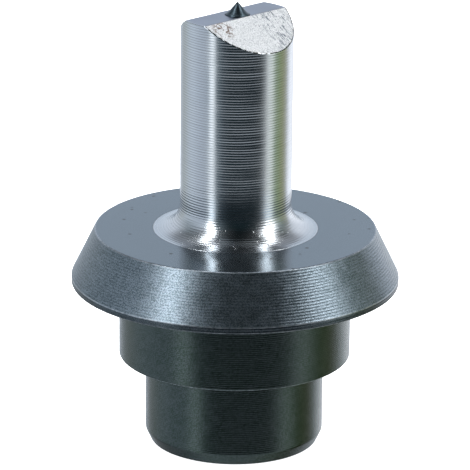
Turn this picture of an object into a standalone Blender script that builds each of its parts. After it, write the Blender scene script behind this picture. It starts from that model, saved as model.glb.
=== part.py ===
"""Flanged hole punch with a roof-ground tip and a centring point.

A bright turned tip stands on a stepped, blackened body. A conical clamping flange is held between the foot of
the tip and the shoulder of the body, and one cap screw from below pulls the whole stack together.
The origin is the centre of the spigot end, and +Z runs along the punch axis towards the point.
"""

import math

import bmesh
import bpy
from mathutils import Matrix, Vector

MM = 0.001

# Driving sizes, measured upwards from the spigot end.
TIP_RADIUS = 5.56 * MM
RIDGE_Z = 44.05 * MM
POINT_TOP_Z = 45.38 * MM
FLANGE_TOP_Z = 22.1 * MM
FLANGE_RIM_Z = 17.25 * MM
FLANGE_UNDERSIDE_Z = 16.6 * MM
STEP_BASE_Z = 9.0 * MM
FLANGE_TOP_RADIUS = 14.02 * MM
FLANGE_RIM_RADIUS = 16.38 * MM
STEP_RADIUS = 11.6 * MM
SPIGOT_RADIUS = 8.93 * MM

# Fits between the pieces.
GAP = 0.1 * MM
EDGE_BREAK = 0.12 * MM

# Punch tip.
TIP_RELIEF = 0.03 * MM
FOOT_FILLET_RADIUS = 2.65 * MM
FOOT_RADIUS = TIP_RADIUS + FOOT_FILLET_RADIUS
FOOT_THICKNESS = 1.0 * MM
TAIL_RADIUS = 5.0 * MM
TAIL_LENGTH = 10.7 * MM
TAIL_CHAMFER = 0.4 * MM
FILLET_STEPS = 9

# The roof on the tip: a flat ridge between two shear faces, turned about the axis.
RIDGE_DIRECTION = math.radians(43.4)
RIDGE_FRONT = 1.13 * MM
RIDGE_BACK = 1.8 * MM
SHEAR_ANGLE = math.atan(0.61)

# Centring point.
POINT_BASE_RADIUS = 1.26 * MM
STEM_RADIUS = 0.8 * MM
STEM_LENGTH = 4.0 * MM
STEM_CHAMFER = 0.2 * MM

# Clamping flange.
SHOULDER_RECESS = 0.5 * MM
RIM_CHAMFER = 0.15 * MM

# Stepped body.
NECK_RADIUS = 6.5 * MM
NECK_TOP_CLEARANCE = 0.3 * MM
FOOT_CHAMFER_HEIGHT = 1.14 * MM
FOOT_CHAMFER_WIDTH = 0.54 * MM
WEB_THICKNESS = 3.5 * MM
COUNTERBORE_RADIUS = 5.0 * MM
COUNTERBORE_CHAMFER = 0.3 * MM
SCREW_HOLE_RADIUS = 2.75 * MM

# M5 socket cap screw, 12 mm long, and its split lock washer.
SCREW_RECESS = 0.3 * MM
HEAD_RADIUS = 4.25 * MM
HEAD_HEIGHT = 5.0 * MM
HEAD_CHAMFER = 0.4 * MM
HEX_ACROSS_FLATS = 4.0 * MM
HEX_DEPTH = 2.5 * MM
SCREW_LENGTH = 12.0 * MM
THREAD_PITCH = 0.8 * MM
THREAD_ROOT_RADIUS = 1.98 * MM
THREAD_CREST_RADIUS = 2.45 * MM
WASHER_THICKNESS = 1.2 * MM
WASHER_RADIUS = 4.6 * MM
WASHER_HOLE_RADIUS = 2.65 * MM
WASHER_SPLIT = 0.6 * MM
WASHER_SPLIT_SLANT = math.radians(25)
SHANK_ROOTING = 0.4 * MM
TAP_DEPTH = 7.2 * MM
TAP_MOUTH_RADIUS = 2.9 * MM
DRILL_POINT = 1.2 * MM

# Mesh fineness.
ROUND_STEPS = 72
SMALL_ROUND_STEPS = 36
THREAD_STEPS = 16
THREAD_ROWS_PER_PITCH = 6
THREAD_ROW = THREAD_PITCH / THREAD_ROWS_PER_PITCH
CUTTER_SIZE = 30.0 * MM
CUTTER_OVERSHOOT = 0.6 * MM
SMOOTH_ANGLE = math.radians(30)

# The stack, worked out from the sizes above.
HEAD_BEARING_Z = SCREW_RECESS + HEAD_HEIGHT
WASHER_Z = HEAD_BEARING_Z + GAP
WEB_BOTTOM_Z = WASHER_Z + WASHER_THICKNESS + GAP
WEB_TOP_Z = WEB_BOTTOM_Z + WEB_THICKNESS
FOOT_SEAT_Z = FLANGE_TOP_Z - FOOT_THICKNESS
TAIL_END_Z = FOOT_SEAT_Z - TAIL_LENGTH
SHOULDER_Z = FLANGE_UNDERSIDE_Z + SHOULDER_RECESS - GAP
NECK_TOP_Z = FOOT_SEAT_Z - NECK_TOP_CLEARANCE


def clear_scene():
    for item in list(bpy.data.objects):
        bpy.data.objects.remove(item, do_unlink=True)


def metal(name, colour, roughness):
    material = bpy.data.materials.new(name)
    material.use_nodes = True
    shader = material.node_tree.nodes["Principled BSDF"]
    shader.inputs["Base Color"].default_value = (*colour, 1.0)
    shader.inputs["Roughness"].default_value = roughness
    shader.inputs["Metallic"].default_value = 1.0
    material.diffuse_color = (*colour, 1.0)
    return material


def add_object(name, bm, material=None):
    """Makes an object of the mesh being edited, smooth on its round faces, and links it to the scene."""
    bmesh.ops.recalc_face_normals(bm, faces=bm.faces)
    mesh = bpy.data.meshes.new(name)
    bm.to_mesh(mesh)
    bm.free()
    mesh.shade_smooth()
    mesh.set_sharp_from_angle(angle=SMOOTH_ANGLE)
    if material:
        mesh.materials.append(material)
    item = bpy.data.objects.new(name, mesh)
    bpy.context.scene.collection.objects.link(item)
    return item


def as_cutter(item):
    item.hide_render = True
    item.display_type = "WIRE"
    return item


def combine(item, other, operation):
    modifier = item.modifiers.new(f"{operation.lower()}_{other.name}", "BOOLEAN")
    modifier.operation = operation
    modifier.solver = "EXACT"
    modifier.object = other
    other.parent = item.parent


def turned(name, outline, material=None, steps=ROUND_STEPS):
    """A solid of revolution about Z. The outline is a list of (radius, height) points.

    It closes on the axis if it starts there, and closes on its own first point if it does not.
    """
    bm = bmesh.new()
    points = [bm.verts.new((radius, 0.0, height)) for radius, height in outline]
    edges = [bm.edges.new(pair) for pair in zip(points, points[1:])]
    if outline[0][0] > 0.0:
        edges.append(bm.edges.new((points[-1], points[0])))
    bmesh.ops.spin(
        bm,
        geom=points + edges,
        cent=(0.0, 0.0, 0.0),
        axis=(0.0, 0.0, 1.0),
        angle=math.tau,
        steps=steps,
        use_merge=True,
    )
    bmesh.ops.remove_doubles(bm, verts=bm.verts, dist=GAP / 1000)
    return add_object(name, bm, material)


def quarter_arc(centre_radius, centre_height, radius, steps):
    """Points of a hollow quarter circle, from beside its centre on the axis side to below its centre."""
    points = []
    for step in range(steps + 1):
        angle = math.pi + 0.5 * math.pi * step / steps
        points.append((centre_radius + radius * math.cos(angle), centre_height + radius * math.sin(angle)))
    return points


def box_cutter(name, size, location, rotation):
    bm = bmesh.new()
    bmesh.ops.create_cube(bm, size=1.0, matrix=Matrix.Diagonal((*size, 1.0)))
    cutter = as_cutter(add_object(name, bm))
    cutter.location = location
    cutter.rotation_euler = rotation
    return cutter


def ridge_cutter(name, offset, side, steepness):
    """A block that cuts away all beyond one edge of the ridge, along a face of the given steepness."""
    across = Vector((math.sin(RIDGE_DIRECTION), -math.cos(RIDGE_DIRECTION), 0.0)) * side
    up = Vector((0.0, 0.0, 1.0))
    downhill = across * math.cos(steepness) - up * math.sin(steepness)
    outward = across * math.sin(steepness) + up * math.cos(steepness)
    turn = Matrix((downhill, outward.cross(downhill), outward)).transposed()
    location = across * offset + up * RIDGE_Z + outward * CUTTER_SIZE / 2
    return box_cutter(name, (CUTTER_SIZE, CUTTER_SIZE, CUTTER_SIZE), location, turn.to_euler())


def thread_radius(angle, height):
    """Radius of a right-hand thread with straight flanks at an angle about the axis and a height along it."""
    phase = (height / THREAD_PITCH - angle / math.tau) % 1.0
    share = abs(2.0 * phase - 1.0)
    return THREAD_ROOT_RADIUS + (THREAD_CREST_RADIUS - THREAD_ROOT_RADIUS) * share


def screw_outline(angle, height):
    """The screw's thread, tapered at its free end."""
    taper = THREAD_ROOT_RADIUS + (SCREW_LENGTH - height) - THREAD_ROW
    return min(thread_radius(angle, height), taper)


def tapped_outline(angle, height):
    """The tapped hole, one gap wider than the screw, with a countersunk mouth at the end of the tail."""
    mouth = TAP_MOUTH_RADIUS - (height - (TAIL_END_Z - HEAD_BEARING_Z))
    return max(thread_radius(angle, height) + GAP, mouth)


def threaded(name, outline, low, high, end_point, material=None):
    """A closed threaded rod between two heights over the screw head, its far end drawn out to a point."""
    first = round(low / THREAD_ROW)
    last = round(high / THREAD_ROW)
    bm = bmesh.new()
    rings = []
    for row in range(first, last + 1):
        height = row * THREAD_ROW
        ring = []
        for step in range(THREAD_STEPS):
            angle = math.tau * step / THREAD_STEPS
            radius = outline(angle, height)
            ring.append(bm.verts.new((radius * math.cos(angle), radius * math.sin(angle), height)))
        rings.append(ring)
    for lower, upper in zip(rings, rings[1:]):
        for step in range(THREAD_STEPS):
            after = (step + 1) % THREAD_STEPS
            bm.faces.new((lower[step], lower[after], upper[after]))
            bm.faces.new((lower[step], upper[after], upper[step]))
    ends = ((rings[0], first * THREAD_ROW), (rings[-1], last * THREAD_ROW + end_point))
    for ring, height in ends:
        centre = bm.verts.new((0.0, 0.0, height))
        for step in range(THREAD_STEPS):
            bm.faces.new((centre, ring[step], ring[(step + 1) % THREAD_STEPS]))
    item = add_object(name, bm, material)
    item.location.z = HEAD_BEARING_Z
    return item


def punch_tip(frame, material):
    """Bright turned tip: roof, shank, hollow fillet, foot and the tail that the screw pulls on."""
    top = RIDGE_Z - FOOT_SEAT_Z
    fillet_top = FOOT_THICKNESS + FOOT_FILLET_RADIUS
    outline = [(0.0, top), (TIP_RADIUS + TIP_RELIEF, top)]
    outline += quarter_arc(FOOT_RADIUS, fillet_top, FOOT_FILLET_RADIUS, FILLET_STEPS)
    outline += [
        (FOOT_RADIUS, 0.0),
        (TAIL_RADIUS, 0.0),
        (TAIL_RADIUS, TAIL_CHAMFER - TAIL_LENGTH),
        (TAIL_RADIUS - TAIL_CHAMFER, -TAIL_LENGTH),
        (0.0, -TAIL_LENGTH),
    ]
    tip = turned("punch_tip", outline, material)
    tip.location.z = FOOT_SEAT_Z
    tip.parent = frame
    for name, offset, side in (("front_shear", RIDGE_FRONT, 1), ("back_shear", RIDGE_BACK, -1)):
        combine(tip, ridge_cutter(name, offset, side, SHEAR_ANGLE), "DIFFERENCE")
    combine(tip, stem_hole(), "DIFFERENCE")
    mouth = TAIL_END_Z - HEAD_BEARING_Z
    tapped = threaded("tapped_hole", tapped_outline, mouth - CUTTER_OVERSHOOT, mouth + TAP_DEPTH, DRILL_POINT)
    combine(tip, as_cutter(tapped), "DIFFERENCE")
    return tip


def stem_hole():
    """Cutter for the blind hole in the ridge that takes the stem of the centring point."""
    radius = STEM_RADIUS + GAP
    depth = STEM_LENGTH + 2 * GAP
    outline = [
        (0.0, CUTTER_OVERSHOOT),
        (radius, CUTTER_OVERSHOOT),
        (radius, -depth),
        (0.0, -depth - radius / 2),
    ]
    hole = as_cutter(turned("stem_hole", outline, steps=SMALL_ROUND_STEPS))
    hole.location.z = RIDGE_Z
    return hole


def centring_point(frame, material):
    """Hard cone on a press-in stem, its base ground off upright at the front edge of the ridge."""
    cone_height = POINT_TOP_Z - RIDGE_Z - GAP
    base_radius = POINT_BASE_RADIUS * cone_height / (POINT_TOP_Z - RIDGE_Z)
    outline = [
        (0.0, cone_height),
        (base_radius, 0.0),
        (STEM_RADIUS, 0.0),
        (STEM_RADIUS, STEM_CHAMFER - STEM_LENGTH),
        (STEM_RADIUS - STEM_CHAMFER, -STEM_LENGTH),
        (0.0, -STEM_LENGTH),
    ]
    point = turned("centring_point", outline, material, SMALL_ROUND_STEPS)
    point.location.z = RIDGE_Z + GAP
    point.parent = frame
    combine(point, ridge_cutter("point_front", RIDGE_FRONT, 1, math.pi / 2), "DIFFERENCE")
    return point


def flange_ring(frame, material):
    """Conical clamping flange, recessed above for the foot of the tip and below for the body's shoulder."""
    top = FLANGE_TOP_Z - FLANGE_UNDERSIDE_Z
    foot_seat = FOOT_SEAT_Z - GAP - FLANGE_UNDERSIDE_Z
    outline = [
        (FLANGE_TOP_RADIUS, top),
        (FLANGE_RIM_RADIUS, FLANGE_RIM_Z - FLANGE_UNDERSIDE_Z),
        (FLANGE_RIM_RADIUS, RIM_CHAMFER),
        (FLANGE_RIM_RADIUS - RIM_CHAMFER, 0.0),
        (STEP_RADIUS + GAP, 0.0),
        (STEP_RADIUS + GAP, SHOULDER_RECESS),
        (NECK_RADIUS + GAP, SHOULDER_RECESS),
        (NECK_RADIUS + GAP, foot_seat),
        (FOOT_RADIUS + GAP, foot_seat),
        (FOOT_RADIUS + GAP, top),
    ]
    ring = turned("flange_ring", outline, material)
    ring.location.z = FLANGE_UNDERSIDE_Z
    ring.parent = frame
    return ring


def stepped_body(frame, material):
    """Body with a spigot, a larger step, a neck that centres the flange, and a bore for tail and screw."""
    outline = [
        (NECK_RADIUS - EDGE_BREAK, NECK_TOP_Z),
        (NECK_RADIUS, NECK_TOP_Z - EDGE_BREAK),
        (NECK_RADIUS, SHOULDER_Z),
        (STEP_RADIUS, SHOULDER_Z),
        (STEP_RADIUS, STEP_BASE_Z + EDGE_BREAK),
        (STEP_RADIUS - EDGE_BREAK, STEP_BASE_Z),
        (SPIGOT_RADIUS, STEP_BASE_Z),
        (SPIGOT_RADIUS, FOOT_CHAMFER_HEIGHT),
        (SPIGOT_RADIUS - FOOT_CHAMFER_WIDTH, 0.0),
        (COUNTERBORE_RADIUS + COUNTERBORE_CHAMFER, 0.0),
        (COUNTERBORE_RADIUS, COUNTERBORE_CHAMFER),
        (COUNTERBORE_RADIUS, WEB_BOTTOM_Z),
        (SCREW_HOLE_RADIUS, WEB_BOTTOM_Z),
        (SCREW_HOLE_RADIUS, WEB_TOP_Z),
        (TAIL_RADIUS + GAP, WEB_TOP_Z),
        (TAIL_RADIUS + GAP, NECK_TOP_Z),
    ]
    body = turned("stepped_body", outline, material)
    body.parent = frame
    return body


def lock_washer(frame, material):
    """Split spring washer, pressed nearly flat under the screw head."""
    outline = [
        (WASHER_RADIUS, WASHER_THICKNESS),
        (WASHER_RADIUS, 0.0),
        (WASHER_HOLE_RADIUS, 0.0),
        (WASHER_HOLE_RADIUS, WASHER_THICKNESS),
    ]
    washer = turned("lock_washer", outline, material)
    washer.location.z = WASHER_Z
    washer.parent = frame
    size = (2 * WASHER_RADIUS, WASHER_SPLIT, 4 * WASHER_THICKNESS)
    centre = (WASHER_RADIUS, 0.0, WASHER_Z + WASHER_THICKNESS / 2)
    combine(washer, box_cutter("washer_split", size, centre, (WASHER_SPLIT_SLANT, 0.0, 0.0)), "DIFFERENCE")
    return washer


def hex_socket():
    """Cutter for the hexagonal key socket, with a coned bottom."""
    corner_radius = HEX_ACROSS_FLATS / math.sqrt(3)
    outline = [(0.0, -HEAD_HEIGHT), (corner_radius, -HEAD_HEIGHT), (corner_radius, HEX_DEPTH)]
    outline.append((0.0, HEX_DEPTH + corner_radius / 3))
    socket = as_cutter(turned("hex_socket", outline, steps=6))
    socket.location.z = SCREW_RECESS
    return socket


def clamp_screw(frame, material):
    """Socket cap screw that enters from the spigot end and threads into the tail of the tip."""
    outline = [
        (0.0, HEAD_HEIGHT),
        (HEAD_RADIUS, HEAD_HEIGHT),
        (HEAD_RADIUS, HEAD_CHAMFER),
        (HEAD_RADIUS - HEAD_CHAMFER, 0.0),
        (0.0, 0.0),
    ]
    screw = turned("clamp_screw", outline, material, SMALL_ROUND_STEPS)
    screw.location.z = SCREW_RECESS
    screw.parent = frame
    shank = threaded("screw_shank", screw_outline, -SHANK_ROOTING, SCREW_LENGTH, 0.0)
    combine(screw, as_cutter(shank), "UNION")
    combine(screw, hex_socket(), "DIFFERENCE")
    return screw


def build():
    clear_scene()
    frame = bpy.data.objects.new("punch_axis", None)
    bpy.context.scene.collection.objects.link(frame)
    bright_steel = metal("bright_steel", (0.62, 0.64, 0.66), 0.26)
    point_steel = metal("point_steel", (0.10, 0.13, 0.15), 0.3)
    flange_black = metal("flange_black_oxide", (0.13, 0.15, 0.17), 0.38)
    body_black = metal("body_black_oxide", (0.05, 0.06, 0.062), 0.35)
    washer_steel = metal("washer_steel", (0.4, 0.41, 0.42), 0.35)
    screw_black = metal("screw_black_oxide", (0.06, 0.06, 0.065), 0.4)
    punch_tip(frame, bright_steel)
    centring_point(frame, point_steel)
    flange_ring(frame, flange_black)
    stepped_body(frame, body_black)
    lock_washer(frame, washer_steel)
    clamp_screw(frame, screw_black)


build()
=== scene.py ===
"""Looks of the flanged hole punch: turned, ground and blackened steel on a pale floor in soft studio light.

Every mesh is a skin of rings of points. Each point carries four marks, which the materials read:

    run          how far along the profile it lies, in metres, for lines
    wear         how worn it is, 0 to 1, for rubbed and chipped edges
    groove  how far it is on the down-facing flank of a turning mark, 0 to 1, for painted shade there
    roof         which ground face it is on, 1 on a shear face and -1 on the ridge, for the finish
"""

import math

import bmesh
import bpy
from mathutils import Matrix, Vector, noise


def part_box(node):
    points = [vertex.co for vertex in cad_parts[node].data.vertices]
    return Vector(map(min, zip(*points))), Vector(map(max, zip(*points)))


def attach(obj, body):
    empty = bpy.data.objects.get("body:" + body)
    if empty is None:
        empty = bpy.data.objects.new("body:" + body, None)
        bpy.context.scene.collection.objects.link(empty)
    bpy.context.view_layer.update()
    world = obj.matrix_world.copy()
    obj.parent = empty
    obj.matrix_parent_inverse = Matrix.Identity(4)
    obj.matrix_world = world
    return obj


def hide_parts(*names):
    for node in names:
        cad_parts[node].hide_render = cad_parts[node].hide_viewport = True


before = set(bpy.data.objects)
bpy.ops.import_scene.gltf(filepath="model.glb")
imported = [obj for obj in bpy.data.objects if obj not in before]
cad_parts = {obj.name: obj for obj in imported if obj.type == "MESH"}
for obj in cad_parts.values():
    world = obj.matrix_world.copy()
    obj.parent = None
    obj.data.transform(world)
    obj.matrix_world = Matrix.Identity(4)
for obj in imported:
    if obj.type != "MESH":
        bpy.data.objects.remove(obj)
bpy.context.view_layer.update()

MM = 0.001

# Places taken from the frame.
TIP_LOW, TIP_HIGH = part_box("punch_tip")
POINT_LOW, POINT_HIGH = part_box("centring_point")
FLANGE_LOW, FLANGE_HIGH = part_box("flange_ring")
BODY_LOW, BODY_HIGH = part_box("stepped_body")
SCREW_LOW, SCREW_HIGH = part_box("clamp_screw")
RIDGE_Z = TIP_HIGH.z
FOOT_RADIUS = TIP_HIGH.x
FLANGE_TOP_Z = FLANGE_HIGH.z
UNDERSIDE_Z = FLANGE_LOW.z
RIM_RADIUS = FLANGE_HIGH.x
STEP_RADIUS = BODY_HIGH.x
NECK_TOP_Z = BODY_HIGH.z
BOTTOM_Z = BODY_LOW.z

# Mesh fineness. A rounded corner is a curve of CORNER_STEPS between two support points, which stand
# SUPPORT_DISTANCE roundings from the corner. A sharp corner has a very small rounding.
ROUND_COLUMNS = 192
SCREW_COLUMNS = 144
POINT_COLUMNS = 72
CORNER_STEPS = 4
SUPPORT_DISTANCE = 1.5
SHARP = 0.02 * MM

# Punch tip.
FILLET_RADIUS = 2.65 * MM
TIP_RADIUS = FOOT_RADIUS - FILLET_RADIUS
TIP_RELIEF = 0.03 * MM
FOOT_THICKNESS = 1.0 * MM
FOOT_EDGE = 0.02 * MM
TAIL_RADIUS = 5.0 * MM
TAIL_HOLE_RADIUS = 2.6 * MM
TAIL_HOLE_TOP_Z = 18.6 * MM
FILLET_LENGTH = 0.5 * math.pi * FILLET_RADIUS
SHANK_BASE_Z = FLANGE_TOP_Z + FILLET_RADIUS

# Turning marks: a helix whose depth and place wander a little, fainter low on the fillet. A slice is any
# place in the noise, and different slices change independently.
FEED = 0.265 * MM
MARK_DEPTH = 0.016 * MM
MARK_DEPTH_CHANGE = 0.7
MARK_DEPTH_REACH = 1.7 * FEED
MARK_DEPTH_SLICE = 7.0
MARK_WANDER = 0.25
MARK_WANDER_REACH = 7 * FEED
FILLET_MARKS = 0.8
# How much of the painted shade on the marks' downward flanks the fillet gets.
FILLET_FLANK_SHADE = 0.5
ROWS_PER_TURN = 6
ROW_HEIGHT = FEED / ROWS_PER_TURN
ROW_SQUEEZE = 0.0005 * MM
FILLET_ROWS = round(FILLET_LENGTH / ROW_HEIGHT)

# Roof on the tip: a flat ridge between two shear faces, inside a narrow uneven edge.
RIDGE_DIRECTION = math.radians(43.4)
ALONG = Vector((math.cos(RIDGE_DIRECTION), math.sin(RIDGE_DIRECTION)))
ACROSS = Vector((math.sin(RIDGE_DIRECTION), -math.cos(RIDGE_DIRECTION)))
RIDGE_FRONT = 1.13 * MM
RIDGE_BACK = 1.8 * MM
SHEAR_SLOPE = 0.61
CREASE = 0.03 * MM
SHEAR_START = 0.1 * MM
ROOF_EDGE = 0.07 * MM
ROOF_EDGE_CHANGE = 0.8
ROOF_EDGE_WAVES = 9
ROOF_EDGE_SLICE = 3.0
BELOW_ROOF = 0.4 * MM
ROOF_ROUGHNESS = 0.008 * MM
RIDGE_ROUGHNESS_SHARE = 0.15
ROOF_BUMPS = 0.5 * MM
ROOF_FRACTAL = (0.8, 2.2, 4)
SHEAR_MARKED_FROM = 0.2
HALF_COLUMNS = 76
ROOF_CELLS = 72

# Centring point.
POINT_BASE_Z = RIDGE_Z + 0.01 * MM
POINT_BASE_RADIUS = 1.26 * MM
POINT_BLUNT = 0.06 * MM
POINT_FLARE = 0.16 * MM
POINT_FLARE_POWER = 8
POINT_STEPS = 12
BLUNT_RADIUS = 0.6 * POINT_BLUNT
BLUNT_DROP = 0.3 * POINT_BLUNT
STEM_RADIUS = 0.8 * MM

# Flange and body.
FLANGE_TOP_RADIUS = 14.02 * MM
FLANGE_HOLE_GAP = 0.02 * MM
RIM_TOP_Z = 17.25 * MM
SPIGOT_RADIUS = 8.93 * MM
STEP_BASE_Z = 9.0 * MM
FOOT_CHAMFER_HEIGHT = 1.14 * MM
FOOT_CHAMFER_WIDTH = 0.54 * MM
NECK_RADIUS = 6.5 * MM
SHOULDER_RECESS = 0.5 * MM
SHOULDER_GAP = 0.1 * MM
COUNTERBORE_RADIUS = 5.0 * MM
COUNTERBORE_TOP_Z = 6.7 * MM
COUNTERBORE_CHAMFER = 0.3 * MM
WEB_TOP_Z = 10.2 * MM
SCREW_HOLE_RADIUS = 2.75 * MM
TAIL_BORE_RADIUS = 5.1 * MM

# Cap screw.
HEAD_RADIUS = 4.25 * MM
HEAD_HEIGHT = 5.0 * MM
HEAD_CHAMFER = 0.45 * MM
HEAD_CHAMFER_HEIGHT = 0.4 * MM
HEAD_SET_BACK = 0.1 * MM
HEAD_EDGE = 0.2 * MM
HEAD_EDGE_SET_BACK = 0.25 * MM
KEY_SIZE = 4.0 * MM
KEY_DEPTH = 2.5 * MM
KEY_CONE = 0.7 * MM
KEY_CHAMFER = 0.12 * MM
KEY_CHAMFER_DEPTH = 0.15 * MM
KNURL_DEPTH = 0.09 * MM
KNURLS = SCREW_COLUMNS // 2
KNURLED_HEIGHTS = (0.55 * MM, HEAD_HEIGHT - 0.5 * MM)
THREAD_PITCH = 0.8 * MM
THREAD_ROOT = 1.98 * MM
THREAD_CREST = 2.45 * MM
THREAD_ROWS_PER_TURN = 6


# ---------------------------------------------------------------------------------------------- meshes


class Skin:
    """Rings of points, bridged one to the next. A ring of one point closes the skin to a pole."""

    def __init__(self, name):
        self.name = name
        self.points = []
        self.faces = []
        self.marks = {"run": [], "wear": [], "groove": [], "roof": []}
        self.last = None

    def add_points(self, places, **marks):
        """Adds points. A mark is one number for all of them or a list with one for each; 0 if not given."""
        first = len(self.points)
        self.points.extend(places)
        for name, values in self.marks.items():
            value = marks.get(name, 0.0)
            values.extend(value if isinstance(value, list) else [value] * len(places))
        return list(range(first, len(self.points)))

    def ring(self, places, **marks):
        """Adds a ring of points and bridges it to the ring before."""
        made = self.add_points(places, **marks)
        if self.last:
            self.bridge(self.last, made)
        self.last = made
        return made

    def bridge(self, lower, upper):
        """Faces between two rings."""
        self.strip(closed(lower), closed(upper))

    def strip(self, lower, upper):
        """Faces between two rows of points. Either row may be a single point."""
        for step in range(max(len(lower), len(upper)) - 1):
            if len(lower) == 1:
                self.faces.append((lower[0], upper[step + 1], upper[step]))
            elif len(upper) == 1:
                self.faces.append((lower[step], lower[step + 1], upper[0]))
            else:
                self.faces.append((lower[step], lower[step + 1], upper[step + 1], upper[step]))

    def finish(self, material, *nodes, slot):
        """Makes the object, which rides on the only body and stands for the given CAD nodes."""
        mesh = bpy.data.meshes.new(self.name)
        mesh.from_pydata(self.points, [], self.faces)
        for name, values in self.marks.items():
            mesh.attributes.new(name, "FLOAT", "POINT").data.foreach_set("value", values)
        bm = bmesh.new()
        bm.from_mesh(mesh)
        bmesh.ops.recalc_face_normals(bm, faces=bm.faces)
        bm.to_mesh(mesh)
        bm.free()
        mesh.shade_smooth()
        mesh.materials.append(material)
        piece = bpy.data.objects.new(self.name, mesh)
        bpy.context.scene.collection.objects.link(piece)
        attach(piece, "root")
        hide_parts(*nodes)
        return piece


def closed(ring):
    """A ring with its first point once more at its end. A pole stays one point."""
    return ring + ring[:1] if len(ring) > 1 else ring


def bend(start, corner, end, share):
    """A point on the quadratic curve that rounds a corner."""
    return start * (1 - share) ** 2 + corner * 2 * share * (1 - share) + end * share**2


def corner_points(before, here, after, size, wear):
    """(place, wear) points of one rounded corner. A support point on each side keeps the flats flat."""
    back = (before - here).normalized() * size
    on = (after - here).normalized() * size
    points = [(here + back * SUPPORT_DISTANCE, 0.0)]
    for step in range(CORNER_STEPS + 1):
        share = step / CORNER_STEPS
        points.append((bend(here + back, here, here + on, share), wear * math.sin(math.pi * share) ** 0.5))
    points.append((here + on * SUPPORT_DISTANCE, 0.0))
    return points


def rounded(corners):
    """Turns (radius, height, rounding, wear) corners into (radius, height, run, wear) points along a profile.

    The first and the last corner stay sharp.
    """
    places = [Vector((radius, height)) for radius, height, _, _ in corners]
    line = [(places[0], corners[0][3])]
    for index in range(1, len(corners) - 1):
        size, wear = corners[index][2:]
        line += corner_points(*places[index - 1 : index + 2], size, wear)
    line.append((places[-1], corners[-1][3]))
    points = []
    run = 0.0
    last = places[0]
    for place, wear in line:
        run += (place - last).length
        points.append((place.x, place.y, run, wear))
        last = place
    return points


def circle(radius, height, columns):
    turns = [math.tau * step / columns for step in range(columns)]
    return [(radius * math.cos(turn), radius * math.sin(turn), height) for turn in turns]


def lathe(name, corners):
    """A ring-shaped skin of revolution, whose profile ends where it starts."""
    skin = Skin(name)
    rings = []
    for radius, height, run, wear in rounded(corners):
        rings.append(skin.ring(circle(radius, height, ROUND_COLUMNS), run=run, wear=wear))
    skin.bridge(rings[-1], rings[0])
    return skin


# ------------------------------------------------------------------------------------------- punch tip


def ramp_up(distance):
    """Zero before an edge, rising one for one past it, with a small round crease between."""
    return 0.5 * (distance + math.sqrt(distance * distance + CREASE * CREASE))


def roof_height(across):
    """Height of the roof at a distance from the axis across the ridge, positive towards the front face."""
    return RIDGE_Z - SHEAR_SLOPE * (ramp_up(across - RIDGE_FRONT) + ramp_up(-across - RIDGE_BACK))


def tip_turns():
    """Angles from the ridge's far end round the tip, closer together beside the edges of the ridge."""
    half = [math.pi * (step / HALF_COLUMNS - 0.5) for step in range(HALF_COLUMNS + 1)]
    for edge in (RIDGE_FRONT, -RIDGE_BACK):
        half += [math.asin((edge + shift * CREASE) / TIP_RADIUS) for shift in (-2, 0, 2)]
    half.sort()
    return half + [math.pi - turn for turn in reversed(half[1:-1])]


def tip_place(turn, radius, height):
    """A place round the tip. Turn 0 is the ridge's far end, and a quarter turn on is the front."""
    away = ALONG * math.cos(turn) + ACROSS * math.sin(turn)
    return (*(away * radius), height)


def place_in_mark(distance, turn):
    """Where a point lies across the helical tool mark, from -0.5 at its lower cusp to 0.5 at the upper."""
    wander = noise.noise(Vector((distance / MARK_WANDER_REACH, math.cos(turn), math.sin(turn))))
    turns = distance / FEED + turn / math.tau + MARK_WANDER * wander
    return turns - math.floor(turns) - 0.5


def turning_mark(distance, turn):
    """How deep the tool mark is at a distance along the profile and a turn round the axis."""
    place = place_in_mark(distance, turn)
    change = noise.noise(Vector((distance / MARK_DEPTH_REACH, MARK_DEPTH_SLICE, math.cos(turn))))
    return MARK_DEPTH * (1.0 + MARK_DEPTH_CHANGE * change) * (1.0 - 4.0 * place * place)


def flank(distance, turn):
    """1 on the flank of a tool mark that faces down, 0 on the rest of it."""
    return max(0.0, math.sin(math.tau * place_in_mark(distance, turn)))


def add_tail_and_foot(skin, turns):
    """The tail with its screw hole, and the foot that sits in the flange."""
    foot_seat = FLANGE_TOP_Z - FOOT_THICKNESS
    profile = (
        (TAIL_HOLE_RADIUS, TAIL_HOLE_TOP_Z),
        (TAIL_HOLE_RADIUS, TIP_LOW.z),
        (TAIL_RADIUS, TIP_LOW.z),
        (TAIL_RADIUS, foot_seat),
        (FOOT_RADIUS, foot_seat),
        (FOOT_RADIUS, FLANGE_TOP_Z - FOOT_EDGE),
    )
    skin.ring([(0.0, 0.0, TAIL_HOLE_TOP_Z)])
    for radius, height in profile:
        skin.ring([tip_place(turn, radius, height) for turn in turns])


def add_fillet(skin, turns):
    """The hollow fillet, from its outer edge, where the turning marks fade in, up to the shank."""
    for step in range(FILLET_ROWS):
        angle = 0.5 * math.pi * step / FILLET_ROWS
        run = FILLET_RADIUS * angle
        out = FILLET_RADIUS * (1.0 - math.sin(angle))
        up = FILLET_RADIUS * (1.0 - math.cos(angle))
        fade = min(1.0, step / ROWS_PER_TURN) * (FILLET_MARKS + (1.0 - FILLET_MARKS) * step / FILLET_ROWS)
        places = []
        for turn in turns:
            radius = TIP_RADIUS + out - fade * math.sin(angle) * turning_mark(run, turn)
            height = FLANGE_TOP_Z + up - fade * math.cos(angle) * turning_mark(run, turn)
            places.append(tip_place(turn, radius, height))
        # Painted shade on the downward flanks of the marks, weaker on the fillet.
        skin.ring(places, run=run, groove=[FILLET_FLANK_SHADE * fade * flank(run, turn) for turn in turns])


def shank_run(height):
    """How far along the profile a height on the shank lies, counted from the fillet's outer edge."""
    return FILLET_LENGTH - SHANK_BASE_Z + height


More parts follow.
